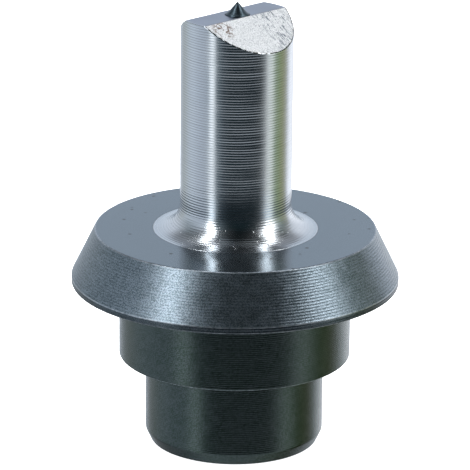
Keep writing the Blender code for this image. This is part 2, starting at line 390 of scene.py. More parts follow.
def wall_radius(height, turn):
    """The shank's radius, which grows a little towards the roof, less the turning mark."""
    relief = TIP_RELIEF * (height - SHANK_BASE_Z) / (RIDGE_Z - SHANK_BASE_Z)
    return TIP_RADIUS + relief - turning_mark(shank_run(height), turn)


def edge_size(turn):
    """Width of the uneven edge between the wall and the roof."""
    place = Vector((ROOF_EDGE_WAVES * math.cos(turn), ROOF_EDGE_WAVES * math.sin(turn), ROOF_EDGE_SLICE))
    return ROOF_EDGE * (1.0 + ROOF_EDGE_CHANGE * noise.noise(place))


def edge_height(turn):
    """Height at which the wall ends and the edge begins."""
    return roof_height(TIP_RADIUS * math.sin(turn)) - edge_size(turn)


def add_wall_ring(skin, turns, heights):
    """One ring of the shank's wall. Returns how far along the profile its points lie."""
    run = [shank_run(height) for height in heights]
    places = [tip_place(turn, wall_radius(height, turn), height) for turn, height in zip(turns, heights)]
    # Marks where the painted shade goes: the downward-facing flanks of the turning marks.
    skin.ring(places, run=run, groove=[flank(along, turn) for along, turn in zip(run, turns)])
    return run


def add_shank(skin, turns):
    """The wall: level rings up to just below the roof, then rings held down where the roof is lower.

    Returns how far along the profile the points of the last ring lie.
    """
    level_top = roof_height(TIP_RADIUS) - BELOW_ROOF
    for step in range(round((level_top - SHANK_BASE_Z) / ROW_HEIGHT)):
        add_wall_ring(skin, turns, [SHANK_BASE_Z + ROW_HEIGHT * step] * len(turns))
    rows = round((RIDGE_Z - level_top) / ROW_HEIGHT)
    for step in range(rows + 1):
        gap = (rows - step) * ROW_SQUEEZE
        heights = [min(level_top + ROW_HEIGHT * step, edge_height(turn) - gap) for turn in turns]
        run = add_wall_ring(skin, turns, heights)
    return run


def edge_place(turn, share):
    """A place on the rounded edge, from the wall at share 0 to the roof at share 1."""
    wall = wall_radius(edge_height(turn), turn)
    inside = wall - edge_size(turn)
    start = Vector((wall, edge_height(turn)))
    corner = Vector((wall, roof_height(wall * math.sin(turn))))
    end = Vector((inside, roof_height(inside * math.sin(turn))))
    return tip_place(turn, *bend(start, corner, end, share))


def add_roof_edge(skin, turns, run):
    """The rounded edge, which is chipped where it borders a shear face. Returns its inner ring."""
    sheared_below = RIDGE_Z - 3 * CREASE
    chipped = [1.0 if roof_height(TIP_RADIUS * math.sin(turn)) < sheared_below else 0.0 for turn in turns]
    for step in range(1, CORNER_STEPS + 1):
        edge = skin.ring([edge_place(turn, step / CORNER_STEPS) for turn in turns], run=run, wear=chipped)
    return edge


def roof_place(place):
    """The roof's point above or below a place between two edge points, and its roof mark."""
    across = place.x * ACROSS.x + place.y * ACROSS.y
    on_shear = min(1.0, (RIDGE_Z - roof_height(across)) / SHEAR_START)
    bumps = noise.fractal(place / ROOF_BUMPS, *ROOF_FRACTAL)
    lift = ROOF_ROUGHNESS * bumps * (RIDGE_ROUGHNESS_SHARE + on_shear)
    return (place.x, place.y, roof_height(across) + lift), 1.0 if on_shear > SHEAR_MARKED_FROM else -1.0


def roof_row(skin, right, left):
    """A row of points across the roof, from one point of the edge to another."""
    start = Vector(skin.points[right])
    end = Vector(skin.points[left])
    row = [right]
    for step in range(1, ROOF_CELLS):
        place, roof = roof_place(start.lerp(end, step / ROOF_CELLS))
        row += skin.add_points([place], run=TIP_HIGH.z, roof=roof)
    return row + [left]


def add_roof(skin, edge):
    """Covers the roof with rows across it, each between two points of the edge ring."""
    half = len(edge) // 2
    rows = [[edge[0]]]
    rows += [roof_row(skin, edge[index], edge[-index]) for index in range(1, half)]
    rows.append([edge[half]])
    for lower, upper in zip(rows, rows[1:]):
        skin.strip(lower, upper)


def make_tip(material):
    """Bright tip: tail and foot, hollow fillet, shank with turning marks, edge and roof."""
    turns = tip_turns()
    skin = Skin("tip_turned_steel")
    add_tail_and_foot(skin, turns)
    add_fillet(skin, turns)
    run = add_shank(skin, turns)
    edge = add_roof_edge(skin, turns, run)
    add_roof(skin, edge)
    return skin.finish(material, "punch_tip", slot="bright_steel")


# --------------------------------------------------------------------------------------- other pieces


def point_profile():
    """(radius, height) of the centring point: a stem, then a cone that flares a little at its base."""
    profile = [(STEM_RADIUS, POINT_LOW.z), (STEM_RADIUS, POINT_BASE_Z), (POINT_BASE_RADIUS, POINT_BASE_Z)]
    tall = POINT_HIGH.z - POINT_BASE_Z
    for step in range(1, POINT_STEPS + 1):
        share = step / POINT_STEPS
        flare = POINT_FLARE * (1.0 - share) ** POINT_FLARE_POWER
        radius = (POINT_BASE_RADIUS - POINT_FLARE) * (1 - share) + POINT_BLUNT * share + flare
        profile.append((radius, POINT_BASE_Z + (tall - POINT_BLUNT) * share))
    return profile


def behind_ridge_front(place):
    """Moves a place that lies in front of the ridge back onto the upright plane through its front edge."""
    x, y, z = place
    over = max(0.0, x * ACROSS.x + y * ACROSS.y - RIDGE_FRONT)
    return x - over * ACROSS.x, y - over * ACROSS.y, z


def make_point(material):
    """Dark cone on the ridge, its base ground off upright at the front edge, with a worn top."""
    skin = Skin("centring_cone")
    skin.ring([(0.0, 0.0, POINT_LOW.z)])
    for radius, height in point_profile():
        skin.ring([behind_ridge_front(place) for place in circle(radius, height, POINT_COLUMNS)], run=height)
    skin.ring(circle(BLUNT_RADIUS, POINT_HIGH.z - BLUNT_DROP, POINT_COLUMNS), run=POINT_HIGH.z, wear=1.0)
    skin.ring([(0.0, 0.0, POINT_HIGH.z)], run=POINT_HIGH.z, wear=1.0)
    return skin.finish(material, "centring_point", slot="point_steel")


def make_flange(material):
    """Blackened clamping cone with a rubbed upper edge, a narrow rim and a recessed underside."""
    hole = FOOT_RADIUS + FLANGE_HOLE_GAP
    foot_seat = FLANGE_TOP_Z - FOOT_THICKNESS - SHOULDER_GAP
    step_hole = STEP_RADIUS + SHOULDER_GAP
    neck_hole = NECK_RADIUS + SHOULDER_GAP
    corners = (
        (hole, foot_seat, 0.0, 0.0),
        (hole, FLANGE_TOP_Z, 0.03 * MM, 0.6),
        (FLANGE_TOP_RADIUS, FLANGE_TOP_Z, 0.14 * MM, 0.55),
        (RIM_RADIUS, RIM_TOP_Z, 0.10 * MM, 0.6),
        (RIM_RADIUS, UNDERSIDE_Z, 0.12 * MM, 0.5),
        (step_hole, UNDERSIDE_Z, 0.03 * MM, 0.3),
        (step_hole, UNDERSIDE_Z + SHOULDER_RECESS, SHARP, 0.0),
        (neck_hole, UNDERSIDE_Z + SHOULDER_RECESS, SHARP, 0.0),
        (neck_hole, foot_seat, 0.0, 0.0),
    )
    return lathe("clamping_flange", corners).finish(material, "flange_ring", slot="flange_black_oxide")


def make_body(material):
    """Blackened body: neck, larger step, spigot with a chamfered foot, counterbore and through bore."""
    shoulder = UNDERSIDE_Z + SHOULDER_RECESS - SHOULDER_GAP
    corners = (
        (TAIL_BORE_RADIUS, WEB_TOP_Z, 0.0, 0.0),
        (TAIL_BORE_RADIUS, NECK_TOP_Z, SHARP, 0.0),
        (NECK_RADIUS, NECK_TOP_Z, 0.1 * MM, 0.0),
        (NECK_RADIUS, shoulder, SHARP, 0.0),
        (STEP_RADIUS, shoulder, SHARP, 0.0),
        (STEP_RADIUS, STEP_BASE_Z, 0.11 * MM, 0.6),
        (SPIGOT_RADIUS, STEP_BASE_Z, 0.05 * MM, 0.0),
        (SPIGOT_RADIUS, BOTTOM_Z + FOOT_CHAMFER_HEIGHT, 0.15 * MM, 0.0),
        (SPIGOT_RADIUS - FOOT_CHAMFER_WIDTH, BOTTOM_Z, 0.1 * MM, 0.3),
        (COUNTERBORE_RADIUS + COUNTERBORE_CHAMFER, BOTTOM_Z, 0.06 * MM, 0.7),
        (COUNTERBORE_RADIUS, BOTTOM_Z + COUNTERBORE_CHAMFER, 0.05 * MM, 0.2),
        (COUNTERBORE_RADIUS, COUNTERBORE_TOP_Z, SHARP, 0.0),
        (SCREW_HOLE_RADIUS, COUNTERBORE_TOP_Z, SHARP, 0.0),
        (SCREW_HOLE_RADIUS, WEB_TOP_Z, 0.0, 0.0),
    )
    return lathe("stepped_holder", corners).finish(material, "stepped_body", slot="body_black_oxide")


def key_radius(turn):
    """Radius of the hexagonal key socket in one direction."""
    sixth = math.pi / 3
    return KEY_SIZE / 2 / math.cos((turn + sixth / 2) % sixth - sixth / 2)


def face_radius(turn, share):
    """Radius on the flat face, from the socket's chamfer at share 0 to the head's chamfer at share 1."""
    return (key_radius(turn) + KEY_CHAMFER) * (1 - share) + (HEAD_RADIUS - HEAD_CHAMFER) * share


def knurl_radius(turn):
    """Radius of the head's knurled side in one direction."""
    return HEAD_RADIUS - KNURL_DEPTH * (0.5 - 0.5 * math.cos(turn * KNURLS))


def thread_radius(turn, above):
    """Radius of the thread in one direction, at a height above the head."""
    phase = (above / THREAD_PITCH - turn / math.tau) % 1.0
    return THREAD_ROOT + (THREAD_CREST - THREAD_ROOT) * abs(2.0 * phase - 1.0)


def add_screw_ring(skin, radius, above, wear=0.0):
    """A ring of the screw at a height above its key end. The radius is a number or a function of the turn."""
    height = SCREW_LOW.z + above
    places = []
    for step in range(SCREW_COLUMNS):
        turn = math.tau * step / SCREW_COLUMNS
        reach = radius(turn) if callable(radius) else radius
        places.append((reach * math.cos(turn), reach * math.sin(turn), height))
    skin.ring(places, run=height, wear=wear)


def add_key_end(skin):
    """The key socket with its chamfer, and the flat face round it."""
    skin.ring([(0.0, 0.0, SCREW_LOW.z + KEY_DEPTH + KEY_CONE)])
    for above in (KEY_DEPTH, KEY_CHAMFER_DEPTH):
        add_screw_ring(skin, key_radius, above)
    for share, wear in ((0.0, 0.8), (0.1, 0.0), (0.5, 0.0), (0.9, 0.0), (1.0, 0.5)):
        add_screw_ring(skin, lambda turn: face_radius(turn, share), 0.0, wear)


def add_head(skin):
    """The head's side: a chamfer, the knurls between two plain bands, and the far edge."""
    add_screw_ring(skin, HEAD_RADIUS - HEAD_SET_BACK, HEAD_CHAMFER_HEIGHT, wear=0.6)
    for above in KNURLED_HEIGHTS:
        add_screw_ring(skin, knurl_radius, above, wear=0.2)
    add_screw_ring(skin, HEAD_RADIUS - HEAD_SET_BACK, HEAD_HEIGHT - HEAD_EDGE)
    add_screw_ring(skin, HEAD_RADIUS - HEAD_EDGE_SET_BACK, HEAD_HEIGHT)


def add_thread(skin):
    """The threaded shank. Near its end the crests are cut back to the root."""
    row_height = THREAD_PITCH / THREAD_ROWS_PER_TURN
    rows = round((SCREW_HIGH.z - SCREW_LOW.z - HEAD_HEIGHT) / row_height)
    for row in range(rows + 1):
        above = row * row_height
        taper = THREAD_ROOT + (rows - row) * row_height
        add_screw_ring(skin, lambda turn: min(thread_radius(turn, above), taper), HEAD_HEIGHT + above)
    skin.ring([(0.0, 0.0, SCREW_HIGH.z)])


def make_screw(material):
    """Socket cap screw, from the key end upwards."""
    skin = Skin("socket_cap_screw")
    add_key_end(skin)
    add_head(skin)
    add_thread(skin)
    return skin.finish(material, "clamp_screw", slot="screw_black_oxide")


def dress_washer(material):
    """The CAD washer stays as it is, with a finish of its own."""
    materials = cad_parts["lock_washer"].data.materials
    materials.clear()
    materials.append(material)


# ------------------------------------------------------------------------------------------- materials

# Colours are linear red, green and blue. "Limits" are where a noise or a mark starts to count and where it
# counts in full. Lengths without another word are the size of a pattern's features.

RUBBED_GREY = (0.55, 0.58, 0.62)
PIT_SHARE = 0.05
PIT_LIMITS = (0.1, 0.4)
FEED_WANDER = 3.0
FEED_WANDER_SIZES = (4.0 * MM, 4.0 * MM, 1.0 * MM)

# Bright steel of the tip.
STEEL_GREYS = ((0.62, 0.65, 0.68), (0.70, 0.71, 0.72))
STEEL_PATCHES = 3.0 * MM
STEEL_ROUGHNESS = (0.16, 0.22)
STEEL_LINE_GREY = (0.52, 0.55, 0.58)
STEEL_LINE_SPACING = 0.06 * MM
STEEL_LINE_LIMITS = (0.35, 0.7)
STEEL_LINE_DEPTH = 0.003 * MM
# Painted shade: a dark grey laid on the downward-facing flanks of the turning marks, standing in for their
# shade.
FLANK_SHADE_GREY = (0.12, 0.13, 0.12)
FLANK_SHADE_SHARE = 0.2
FOOT_PITS = 0.2 * MM
FOOT_PIT_DEPTH = 0.02 * MM
FOOT_PIT_LIMITS = (0.8 * FILLET_RADIUS, 1.6 * FILLET_RADIUS)
CHIP_GREY = (0.10, 0.10, 0.09)
CHIPS = 0.25 * MM
CHIP_LIMITS = (0.44, 0.52)
RIDGE_GREY = (0.33, 0.35, 0.41)
RIDGE_ROUGHER = 0.12
SHEAR_ROUGHER = 0.4
SHEAR_METALLIC = 0.3
ROOF_LIMITS = (0.2, 0.8)

# Shear faces of the tip. The scratches' places are in millimetres along the ridge.
SPECKLE_GREYS = ((0.24, 0.26, 0.28), (0.58, 0.59, 0.60))
SPECKLE = 0.10 * MM
SPECKLE_LIMITS = (0.34, 0.54)
SPECKLE_DEPTH = 0.012 * MM
SCRATCH_BLUE = (0.05, 0.07, 0.10)
SCRATCH_SHARE = 0.8
SCRATCHES = (0.9 * MM, 0.13 * MM, 0.9 * MM)
SCRATCH_LIMITS = (0.53, 0.57)
SCRATCH_PATCHES = 0.9 * MM
SCRATCH_PATCH_LIMITS = (0.44, 0.5)
SCRATCH_PLACES = (-1.0, 2.5)
RUST_BROWN = (0.10, 0.055, 0.035)
RUST_SHARE = 0.9
RUST_PLACE = Vector((-1.4, -3.9, 43.5)) * MM
RUST_REACH = (1.6 * MM, 0.6 * MM)
RUST_TRAILS = 0.8 * MM
RUST_TRAIL_LIMITS = (0.05, 0.02)

# Centring point.
POINT_GREYS = ((0.04, 0.06, 0.075), (0.12, 0.155, 0.18))
POINT_TIP_GREY = (0.4, 0.42, 0.44)
POINT_MOTTLE = 0.4 * MM
POINT_GRAIN = 0.08 * MM
POINT_GRAIN_DEPTH = 0.01 * MM
POINT_ROUGHNESS = 0.32

# Black oxide. Its tone adds up mottle, grain and turning, less the middle of their sum.
OXIDE_MOTTLE = 0.9 * MM
OXIDE_GRAIN = 0.11 * MM
TONE_OF_MOTTLE = 0.3
TONE_OF_GRAIN = 1.5
TONE_OF_TURNING = 0.05
TONE_MIDDLE = 0.9
TONE_LIMITS = (-0.2, 0.2)
ROUGHNESS_CHANGE = 0.03
MOTTLE_LIMITS = (0.3, 0.7)
FACED_LIMITS = (0.75, 0.95)
FACED_TONE = 0.15
FACED_SMOOTHER = 0.6
FACED_PITS = 0.7 * MM
FACED_PIT_BLACK = (0.02, 0.02, 0.02)
UNWORN_BLACK = (0.01, 0.014, 0.014)
UNWORN_SHARE = 0.65
UNWORN_START = (0.02 * MM, 0.1 * MM)
WORN_PATCHES = 0.35 * MM
WORN_LIMITS = (0.35, 0.65)
WORN_LEAST = 0.3
SHARPER_SIDE = (0.0, 7.0 * MM)
FAINTER_SIDE_SHARE = 0.5

# Washer.
WASHER_GREYS = ((0.30, 0.31, 0.32), (0.45, 0.46, 0.47))
WASHER_PATCHES = 1.0 * MM
WASHER_GRAIN = 0.1 * MM
WASHER_GRAIN_DEPTH = 0.005 * MM
WASHER_ROUGHNESS = 0.35


class Nodes:
    """A node tree in the making, with short calls for the nodes that materials and studio share."""

    def __init__(self, tree):
        self.tree = tree

    def node(self, kind, **settings):
        made = self.tree.nodes.new(kind)
        for name, value in settings.items():
            setattr(made, name, value)
        return made

    def put(self, socket, value):
        """Links another node's output to a socket, or sets the socket to a constant."""
        if isinstance(value, bpy.types.NodeSocket):
            self.tree.links.new(value, socket)
        else:
            socket.default_value = value

    def math(self, operation, first, second=0.0):
        made = self.node("ShaderNodeMath", operation=operation)
        self.put(made.inputs[0], first)
        self.put(made.inputs[1], second)
        return made.outputs[0]

    def vector(self, operation, first, second):
        """Arithmetic on a colour or a place. Scaling takes a number as its second value."""
        made = self.node("ShaderNodeVectorMath", operation=operation)
        self.put(made.inputs[0], first)
        self.put(made.inputs["Scale" if operation == "SCALE" else 1], second)
        return made.outputs["Value" if operation == "DISTANCE" else "Vector"]

    def parts(self, vector):
        """The three parts of a colour, a place or a direction."""
        made = self.node("ShaderNodeSeparateXYZ")
        self.put(made.inputs[0], vector)
        return made.outputs

    def between(self, value, low, high, to_low=0.0, to_high=1.0):
        """Goes smoothly from to_low to to_high as the value goes from low to high, and stays there."""
        made = self.node("ShaderNodeMapRange", interpolation_type="SMOOTHSTEP")
        for name, number in (("From Min", low), ("From Max", high), ("To Min", to_low), ("To Max", to_high)):
            self.put(made.inputs[name], number)
        self.put(made.inputs["Value"], value)
        return made.outputs["Result"]

    def blend(self, share, first, second):
        """A colour that goes from the first to the second as the share goes from 0 to 1."""
        made = self.node("ShaderNodeMix", data_type="RGBA")
        self.put(made.inputs[0], share)
        for socket, value in ((made.inputs[6], first), (made.inputs[7], second)):
            self.put(socket, (*value, 1.0) if isinstance(value, tuple) else value)
        return made.outputs[2]

    def around(self, stops, turn):
        """A colour that changes with the angle, read from (degrees, colour) stops."""
        ramp = self.node("ShaderNodeValToRGB")
        self.put(ramp.inputs["Fac"], turn)
        elements = ramp.color_ramp.elements
        for index, (degrees, colour) in enumerate(stops):
            stop = elements[index] if index < 2 else elements.new(1.0)
            stop.position = degrees / 360 + 0.5
            stop.color = (*colour, 1.0)
        return ramp.outputs["Color"]


class Metal(Nodes):
    """A metal finish: nodes that read the object's own places and the marks on its skin."""

    def __init__(self, name, metallic=1.0):
        self.material = bpy.data.materials.new(name)
        self.material.use_nodes = True
        super().__init__(self.material.node_tree)
        self.shader = self.tree.nodes["Principled BSDF"]
        self.shader.inputs["Metallic"].default_value = metallic
        self.place = self.node("ShaderNodeTexCoord").outputs["Object"]

    def mark(self, name):
        return self.node("ShaderNodeAttribute", attribute_name=name).outputs["Fac"]

    def sized(self, sizes, turn=0.0):
        """Places counted in units of the given sizes, along axes turned about the punch axis."""
        made = self.node("ShaderNodeMapping", vector_type="TEXTURE")
        self.put(made.inputs["Vector"], self.place)
        made.inputs["Scale"].default_value = sizes
        made.inputs["Rotation"].default_value = (0.0, 0.0, turn)
        return made.outputs["Vector"]

    def noise(self, sizes, detail=3.0, turn=0.0):
        """Noise from 0 to 1 with features of one size in metres, or of three along turned axes."""
        sizes = sizes if isinstance(sizes, tuple) else (sizes, sizes, sizes)
        made = self.node("ShaderNodeTexNoise")
        self.put(made.inputs["Vector"], self.sized(sizes, turn))
        made.inputs["Scale"].default_value = 1.0
        made.inputs["Detail"].default_value = detail
        return made.outputs["Fac"]

    def pits(self, size):
        """1 everywhere but in scattered round pits. Cells are as wide as the size, and few hold a pit."""
        made = self.node("ShaderNodeTexVoronoi")
        self.put(made.inputs["Vector"], self.sized((size, size, size)))
        made.inputs["Scale"].default_value = 1.0
        level = self.between(made.outputs["Distance"], *PIT_LIMITS)
        holds_one = self.math("LESS_THAN", self.parts(made.outputs["Color"])["X"], PIT_SHARE)
        return self.math("MAXIMUM", level, self.math("SUBTRACT", 1.0, holds_one))

    def lines(self, spacing):
        """Uneven fine lines round the axis, read along the profile."""
        made = self.node("ShaderNodeTexNoise", noise_dimensions="1D")
        self.put(made.inputs["W"], self.mark("run"))
        made.inputs["Scale"].default_value = 1.0 / spacing
        made.inputs["Detail"].default_value = 2.0
        return made.outputs["Fac"]

    def feed_lines(self, feed):
        """Even turning lines round the axis with a little wander, from -1 to 1."""
        wander = self.math("MULTIPLY", self.noise(FEED_WANDER_SIZES), FEED_WANDER)
        turns = self.math("MULTIPLY", self.mark("run"), math.tau / feed)
        return self.math("SINE", self.math("ADD", turns, wander))

    def relief(self, height, depth, strength=1.0):
        """Adds a bump of the given depth in metres, on top of those added before."""
        made = self.node("ShaderNodeBump")
        made.inputs["Distance"].default_value = depth
        self.put(made.inputs["Strength"], strength)
        self.put(made.inputs["Height"], height)
        socket = self.shader.inputs["Normal"]
        if socket.links:
            self.put(made.inputs["Normal"], socket.links[0].from_socket)
        self.put(socket, made.outputs["Normal"])

    def finish(self, colour, roughness):
        self.put(self.shader.inputs["Base Color"], colour)
        self.put(self.shader.inputs["Roughness"], roughness)
        return self.material


def scratches(steel):
    """Where grinding has scratched a shear face down its slope, mostly towards the ridge's far end."""
    downhill = RIDGE_DIRECTION - math.pi / 2
    strokes = steel.between(steel.noise(SCRATCHES, turn=downhill), *SCRATCH_LIMITS)
    along_ridge = steel.parts(steel.sized((MM, MM, MM), RIDGE_DIRECTION))["X"]
    scratched = steel.math("MULTIPLY", strokes, steel.between(along_ridge, *SCRATCH_PLACES))
    patches = steel.between(steel.noise(SCRATCH_PATCHES), *SCRATCH_PATCH_LIMITS)
    return steel.math("MULTIPLY", steel.math("MULTIPLY", scratched, patches), SCRATCH_SHARE)


def rust_trails(steel):
    """Where thin trails of rust run, near one corner of the front shear face."""
    nearness = steel.between(steel.vector("DISTANCE", steel.place, RUST_PLACE), *RUST_REACH)
    trail = steel.math("ABSOLUTE", steel.math("SUBTRACT", steel.noise(RUST_TRAILS, detail=2.0), 0.5))
    rusty = steel.math("MULTIPLY", steel.between(trail, *RUST_TRAIL_LIMITS), nearness)
    return steel.math("MULTIPLY", rusty, RUST_SHARE)


def shear_finish(steel, on_shear):
    """Pale, matt shear faces: fine speckle, grinding scratches and a little rust. Returns their colour."""
    speckle = steel.noise(SPECKLE, detail=4.0)
    steel.relief(speckle, SPECKLE_DEPTH, on_shear)
    colour = steel.blend(steel.between(speckle, *SPECKLE_LIMITS), *SPECKLE_GREYS)
    colour = steel.blend(scratches(steel), colour, SCRATCH_BLUE)
    return steel.blend(rust_trails(steel), colour, RUST_BROWN)


def turned_finish(steel, patches):
    """Bright turned steel: fine lines, a few pits near the foot, painted shade in the marks. Returns its
    colour.
    """
    lines = steel.lines(STEEL_LINE_SPACING)
    steel.relief(lines, STEEL_LINE_DEPTH, 0.5)
    near_foot = steel.between(steel.mark("run"), *FOOT_PIT_LIMITS, 1.0, 0.0)
    steel.relief(steel.pits(FOOT_PITS), FOOT_PIT_DEPTH, near_foot)
    colour = steel.blend(patches, *STEEL_GREYS)
    colour = steel.blend(steel.between(lines, *STEEL_LINE_LIMITS), STEEL_LINE_GREY, colour)
    # Painted shade: the downward flanks of the turning marks are blended towards a dark grey.
    return steel.blend(steel.math("MULTIPLY", steel.mark("groove"), FLANK_SHADE_SHARE), colour, FLANK_SHADE_GREY)


def bright_steel():
    """Turned tool steel on the shank, ground grey on the ridge, rough and pale on the shear faces."""
    steel = Metal("bright_turned_steel")
    roof = steel.mark("roof")
    on_shear = steel.between(roof, *ROOF_LIMITS)
    on_ridge = steel.between(steel.math("MULTIPLY", roof, -1.0), *ROOF_LIMITS)
    patches = steel.noise(STEEL_PATCHES)
    colour = steel.blend(on_ridge, turned_finish(steel, patches), RIDGE_GREY)
    colour = steel.blend(on_shear, colour, shear_finish(steel, on_shear))
    chips = steel.between(steel.noise(CHIPS), *CHIP_LIMITS)
    colour = steel.blend(steel.math("MULTIPLY", steel.mark("wear"), chips), colour, CHIP_GREY)
    steel.put(steel.shader.inputs["Metallic"], steel.between(on_shear, 0.0, 1.0, 1.0, SHEAR_METALLIC))
    rough = steel.between(patches, *MOTTLE_LIMITS, *STEEL_ROUGHNESS)
    rough = steel.math("ADD", rough, steel.math("MULTIPLY", on_shear, SHEAR_ROUGHER))
    rough = steel.math("ADD", rough, steel.math("MULTIPLY", on_ridge, RIDGE_ROUGHER))
    return steel.finish(colour, rough)


def point_steel():
    """Hardened, darkly tempered cone with a rubbed tip."""
    steel = Metal("hardened_point_steel")
    colour = steel.blend(steel.noise(POINT_MOTTLE), *POINT_GREYS)
    steel.relief(steel.noise(POINT_GRAIN), POINT_GRAIN_DEPTH, 0.4)
    return steel.finish(steel.blend(steel.mark("wear"), colour, POINT_TIP_GREY), POINT_ROUGHNESS)


def oxide_colour(steel, blacks, unworn_below, mottle, grain, turning, turned):
    """Colour of a blackened skin: grainy where turned, pitted where faced, rubbed along worn edges."""
    tone = steel.math("MULTIPLY", mottle, TONE_OF_MOTTLE)
    tone = steel.math("ADD", tone, steel.math("MULTIPLY", grain, TONE_OF_GRAIN))
    tone = steel.math("ADD", tone, steel.math("MULTIPLY", turning, TONE_OF_TURNING))
    tone = steel.math("SUBTRACT", tone, TONE_MIDDLE)
    tone = steel.math("MULTIPLY", tone, steel.between(turned, 0.0, 1.0, FACED_TONE, 1.0))
    colour = steel.blend(steel.between(tone, *TONE_LIMITS), *blacks)
    depth = steel.math("SUBTRACT", unworn_below, steel.parts(steel.place)["Z"])
    colour = steel.blend(steel.between(depth, *UNWORN_START, 0.0, UNWORN_SHARE), colour, UNWORN_BLACK)
    unpitted = steel.math("MAXIMUM", steel.pits(FACED_PITS), turned)
    colour = steel.blend(unpitted, FACED_PIT_BLACK, colour)
    patches = steel.between(steel.noise(WORN_PATCHES), *WORN_LIMITS, WORN_LEAST, 1.0)
    return steel.blend(steel.math("MULTIPLY", steel.mark("wear"), patches), colour, RUBBED_GREY)


def black_oxide(name, blacks, roughness, feed, line_depth, grain_depth, metallic=1.0, unworn_below=-1.0):
    """Blackened steel: a mottled, grainy oxide skin over fine turning lines, rubbed bright along worn edges.

    Faces square to the punch axis are smoother than the turned ones: they have a few dark pits, but neither
    lines nor grain. Below the height unworn_below the skin has seen no wear, so it is much blacker. The lines
    are sharper on the camera's right.
    """
    steel = Metal(name, metallic)
    mottle = steel.noise(OXIDE_MOTTLE, detail=5.0)
    grain = steel.noise(OXIDE_GRAIN, detail=2.0)
    turning = steel.feed_lines(feed)
    facing = steel.parts(steel.node("ShaderNodeNewGeometry").outputs["Normal"])
    turned = steel.between(steel.math("ABSOLUTE", facing["Z"]), *FACED_LIMITS, 1.0, 0.0)
    sharpness = steel.between(steel.parts(steel.place)["X"], *SHARPER_SIDE, FAINTER_SIDE_SHARE, 1.0)
    steel.relief(turning, line_depth, steel.math("MULTIPLY", turned, sharpness))
    steel.relief(steel.lines(0.5 * feed), line_depth, steel.math("MULTIPLY", turned, 0.5))
    steel.relief(grain, grain_depth, turned)
    rough = steel.between(mottle, *MOTTLE_LIMITS, roughness - ROUGHNESS_CHANGE, roughness + ROUGHNESS_CHANGE)
    rough = steel.math("MULTIPLY", rough, steel.between(turned, 0.0, 1.0, FACED_SMOOTHER, 1.0))
    return steel.finish(oxide_colour(steel, blacks, unworn_below, mottle, grain, turning, turned), rough)


def flange_black():
    """The flange's skin has worn to a pale grey speckle, but not on its narrow rim."""
    return black_oxide(
        "flange_black_oxide",
        ((0.090, 0.117, 0.132), (0.24, 0.285, 0.325)),
        roughness=0.31,
        feed=0.29 * MM,
        line_depth=0.012 * MM,
        grain_depth=0.012 * MM,
        metallic=0.95,
        unworn_below=RIM_TOP_Z,
    )


def body_black():
    """The body's skin is nearly whole, with a greenish tinge."""
    return black_oxide(
        "body_black_oxide",
        ((0.044, 0.064, 0.054), (0.094, 0.114, 0.114)),
        roughness=0.22,
        feed=0.2 * MM,
        line_depth=0.005 * MM,
        grain_depth=0.014 * MM,
    )


def screw_black():
    """The screw's skin is duller and finer."""
    return black_oxide(
        "screw_black_oxide",
        ((0.05, 0.05, 0.055), (0.08, 0.08, 0.085)),
        roughness=0.4,
        feed=0.1 * MM,
        line_depth=0.003 * MM,
        grain_depth=0.01 * MM,
    )


def washer_steel():
    """Bright zinc-grey spring steel."""
    steel = Metal("washer_spring_steel")
    steel.relief(steel.noise(WASHER_GRAIN), WASHER_GRAIN_DEPTH, 0.5)
    return steel.finish(steel.blend(steel.noise(WASHER_PATCHES), *WASHER_GREYS), WASHER_ROUGHNESS)


# ------------------------------------------------------------------------------------------------ stage

# Camera, solved from the object's own outlines.
CAMERA_PLACE = Vector((0.0, -381.4, 147.5)) * MM
CAMERA_AIM = Vector((-0.045, 0.0, 21.28)) * MM
CAMERA_ROLL = math.radians(0.52)
LENS_MM = 308.5
SENSOR_MM = 36.0
CLIP_START = 0.01

# Studio, chosen one by one. A stop is an angle in degrees from the camera's side, positive to the right, and
# a colour. Low walls turn into high walls, and walls into ceiling, over a pair of heights. A height is the
# upright part of a unit direction.
WALLS = (
    (-180, (0.78, 0.88, 1.00)),
    (-155, (0.70, 0.76, 0.84)),
    (-145, (0.52, 0.57, 0.61)),
    (-130, (0.58, 0.63, 0.64)),
    (-115, (0.68, 0.76, 0.84)),
    (-100, (0.74, 0.83, 0.94)),
    (-70, (0.56, 0.63, 0.73)),
    (-55, (0.45, 0.52, 0.58)),
    (-42, (0.15, 0.20, 0.23)),
    (-28, (0.04, 0.055, 0.07)),
    (-15, (0.016, 0.026, 0.032)),
    (35, (0.016, 0.026, 0.032)),
    (50, (0.05, 0.06, 0.065)),
    (62, (0.20, 0.22, 0.23)),
    (88, (0.34, 0.43, 0.30)),
    (97, (0.34, 0.43, 0.24)),
    (108, (0.40, 0.42, 0.26)),
    (120, (0.50, 0.52, 0.42)),
    (127, (0.85, 0.88, 0.94)),
    (137, (1.38, 1.42, 1.52)),
    (160, (1.15, 1.19, 1.27)),
    (180, (0.78, 0.88, 1.00)),
)
HIGH_WALLS = (
    (-180, (0.70, 0.80, 0.93)),
    (-145, (0.80, 0.86, 0.96)),
    (-125, (0.58, 0.64, 0.70)),
    (-108, (0.36, 0.42, 0.46)),
    (-90, (0.50, 0.57, 0.64)),
    (-70, (0.60, 0.68, 0.78)),
    (-55, (0.45, 0.52, 0.58)),
    (-42, (0.15, 0.20, 0.23)),
    (-15, (0.008, 0.018, 0.022)),
    (35, (0.008, 0.018, 0.022)),
    (55, (0.08, 0.09, 0.10)),
    (80, (0.36, 0.40, 0.42)),
    (95, (0.28, 0.34, 0.34)),
    (108, (0.22, 0.26, 0.25)),
    (120, (0.40, 0.42, 0.42)),
    (132, (0.85, 0.90, 0.98)),
    (150, (1.00, 1.05, 1.15)),
    (180, (0.70, 0.80, 0.93)),
)
HIGH_WALL_HEIGHTS = (-0.1, 0.2)
CEILING_HEIGHTS = (0.42, 0.62)
CEILING_SHARE = 0.35

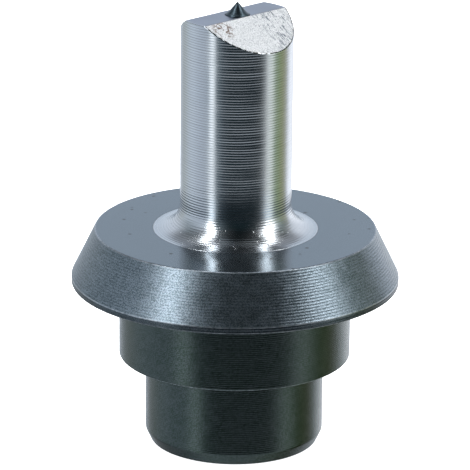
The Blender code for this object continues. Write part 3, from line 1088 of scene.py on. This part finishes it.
# Two strip lights, fainter low down. High up they lean back, away from the camera.
STRIP_LIGHTS = (
    (-180, (0.0, 0.0, 0.0)),
    (-59, (0.0, 0.0, 0.0)),
    (-54, (9.0, 9.2, 9.4)),
    (-48, (9.0, 9.2, 9.4)),
    (-42, (0.0, 0.0, 0.0)),
    (50, (0.0, 0.0, 0.0)),
    (60, (1.0, 1.02, 1.04)),
    (67, (5.6, 5.7, 5.8)),
    (77, (5.6, 5.7, 5.8)),
    (87, (0.3, 0.31, 0.32)),
    (100, (0.0, 0.0, 0.0)),
    (180, (0.0, 0.0, 0.0)),
)
STRIP_LEAN = 0.9
STRIP_LEAN_POWER = 5.0
STRIP_HEIGHTS = (0.05, 0.40)
STRIP_LOW_SHARE = 0.13

# What the metal mirrors from below, over a pair of depths. A depth is the downward part of a unit direction.
GROUND = (
    (-180, (0.55, 0.60, 0.66)),
    (-150, (0.26, 0.28, 0.30)),
    (-90, (0.36, 0.40, 0.46)),
    (-62, (0.62, 0.68, 0.74)),
    (-50, (0.95, 1.00, 1.05)),
    (-42, (0.58, 0.64, 0.70)),
    (55, (0.50, 0.54, 0.58)),
    (66, (0.80, 0.85, 0.87)),
    (76, (0.80, 0.85, 0.83)),
    (90, (0.07, 0.12, 0.04)),
    (118, (0.10, 0.10, 0.04)),
    (130, (0.60, 0.62, 0.66)),
    (180, (0.55, 0.60, 0.66)),
)
GROUND_DEPTHS = (0.36, 0.52)

# Floor and overhead light, in metres and watts.
FLOOR_REACH = 2.5
FLOOR_GREY = (0.93, 0.93, 0.93, 1.0)
FLOOR_GLOW = 0.9
FLOOR_ROUGHNESS = 0.9
FLOOR_SHINE = 0.1
WHITE = (1.0, 1.0, 1.0)
SOFTBOX_PLACE = Vector((0.1, 0.15, 0.7))
SOFTBOX_AIM = Vector((0.0, 0.0, 0.02))
SOFTBOX_SIZE = (0.7, 0.5)
SOFTBOX_POWER = 6.0


def add_to_scene(name, data):
    made = bpy.data.objects.new(name, data)
    bpy.context.scene.collection.objects.link(made)
    return made


def facing_back(place, aim):
    """Rotation that makes a camera or light at a place look at its aim."""
    return (place - aim).to_track_quat("Z", "Y").to_matrix().to_4x4()


def floor_material():
    """Nearly white, and lit a little from within like a light table, so that shadows on it stay faint."""
    material = bpy.data.materials.new("pale_floor")
    material.use_nodes = True
    inputs = material.node_tree.nodes["Principled BSDF"].inputs
    inputs["Base Color"].default_value = FLOOR_GREY
    inputs["Roughness"].default_value = FLOOR_ROUGHNESS
    inputs["Specular IOR Level"].default_value = FLOOR_SHINE
    inputs["Emission Color"].default_value = (*WHITE, 1.0)
    inputs["Emission Strength"].default_value = FLOOR_GLOW
    return material


def make_floor():
    """The floor, which the metal doesn't mirror: GROUND stands in for it there."""
    mesh = bpy.data.meshes.new("floor")
    corners = ((-1, -1), (1, -1), (1, 1), (-1, 1))
    mesh.from_pydata([(x * FLOOR_REACH, y * FLOOR_REACH, 0.0) for x, y in corners], [], [(0, 1, 2, 3)])
    mesh.materials.append(floor_material())
    floor = add_to_scene("floor", mesh)
    floor.visible_glossy = False


def studio_walls(studio, turn, up):
    """Pale walls with a dark screen round the camera, in a low and a high band under a dimmer ceiling."""
    turn_share = studio.math("ADD", turn, 0.5)
    high = studio.between(up, *HIGH_WALL_HEIGHTS)
    walls = studio.blend(high, studio.around(WALLS, turn_share), studio.around(HIGH_WALLS, turn_share))
    return studio.vector("SCALE", walls, studio.between(up, *CEILING_HEIGHTS, 1.0, CEILING_SHARE))


def studio_lights(studio, turn, up):
    """The two strip lights."""
    steepness = studio.math("POWER", studio.math("MAXIMUM", up, 0.0), STRIP_LEAN_POWER)
    leaning = studio.math("MULTIPLY", turn, studio.between(steepness, 0.0, 1.0, 1.0, 1.0 - STRIP_LEAN))
    lights = studio.around(STRIP_LIGHTS, studio.math("ADD", leaning, 0.5))
    return studio.vector("SCALE", lights, studio.between(up, *STRIP_HEIGHTS, STRIP_LOW_SHARE, 1.0))


def make_world():
    """The studio that the metal reflects. The camera itself sees plain white."""
    world = bpy.data.worlds.new("studio")
    bpy.context.scene.world = world
    world.use_nodes = True
    studio = Nodes(world.node_tree)
    studio.tree.nodes.clear()
    right, away, up = studio.parts(studio.node("ShaderNodeTexCoord").outputs["Generated"])
    towards = studio.math("MULTIPLY", away, -1.0)
    turn = studio.math("DIVIDE", studio.math("ARCTAN2", right, towards), math.tau)
    upper = studio.vector("ADD", studio_walls(studio, turn, up), studio_lights(studio, turn, up))
    ground = studio.around(GROUND, studio.math("ADD", turn, 0.5))
    below = studio.between(studio.math("MULTIPLY", up, -1.0), *GROUND_DEPTHS)
    colour = studio.blend(below, upper, ground)
    colour = studio.blend(studio.node("ShaderNodeLightPath").outputs["Is Camera Ray"], colour, WHITE)
    background = studio.node("ShaderNodeBackground")
    studio.put(background.inputs["Color"], colour)
    studio.put(studio.node("ShaderNodeOutputWorld").inputs["Surface"], background.outputs[0])


def make_softbox():
    """A weak light overhead, which the metal doesn't mirror."""
    data = bpy.data.lights.new("overhead_softbox", "AREA")
    data.shape = "RECTANGLE"
    data.size, data.size_y = SOFTBOX_SIZE
    data.energy = SOFTBOX_POWER
    softbox = add_to_scene("overhead_softbox", data)
    softbox.location = SOFTBOX_PLACE
    softbox.rotation_euler = facing_back(SOFTBOX_PLACE, SOFTBOX_AIM).to_euler()
    softbox.visible_camera = False
    softbox.visible_glossy = False


def make_camera():
    """The camera at the photograph's angle."""
    data = bpy.data.cameras.new("camera")
    data.lens = LENS_MM
    data.sensor_width = SENSOR_MM
    data.clip_start = CLIP_START
    camera = add_to_scene("camera", data)
    camera.location = CAMERA_PLACE
    roll = Matrix.Rotation(CAMERA_ROLL, 4, "Z")
    camera.rotation_euler = (facing_back(CAMERA_PLACE, CAMERA_AIM) @ roll).to_euler()
    bpy.context.scene.camera = camera


def build():
    """Makes the pieces with their materials, then the stage."""
    make_tip(bright_steel())
    make_point(point_steel())
    make_flange(flange_black())
    make_body(body_black())
    make_screw(screw_black())
    dress_washer(washer_steel())
    make_floor()
    make_world()
    make_softbox()
    make_camera()
    bpy.context.scene.view_settings.view_transform = "Standard"


build()
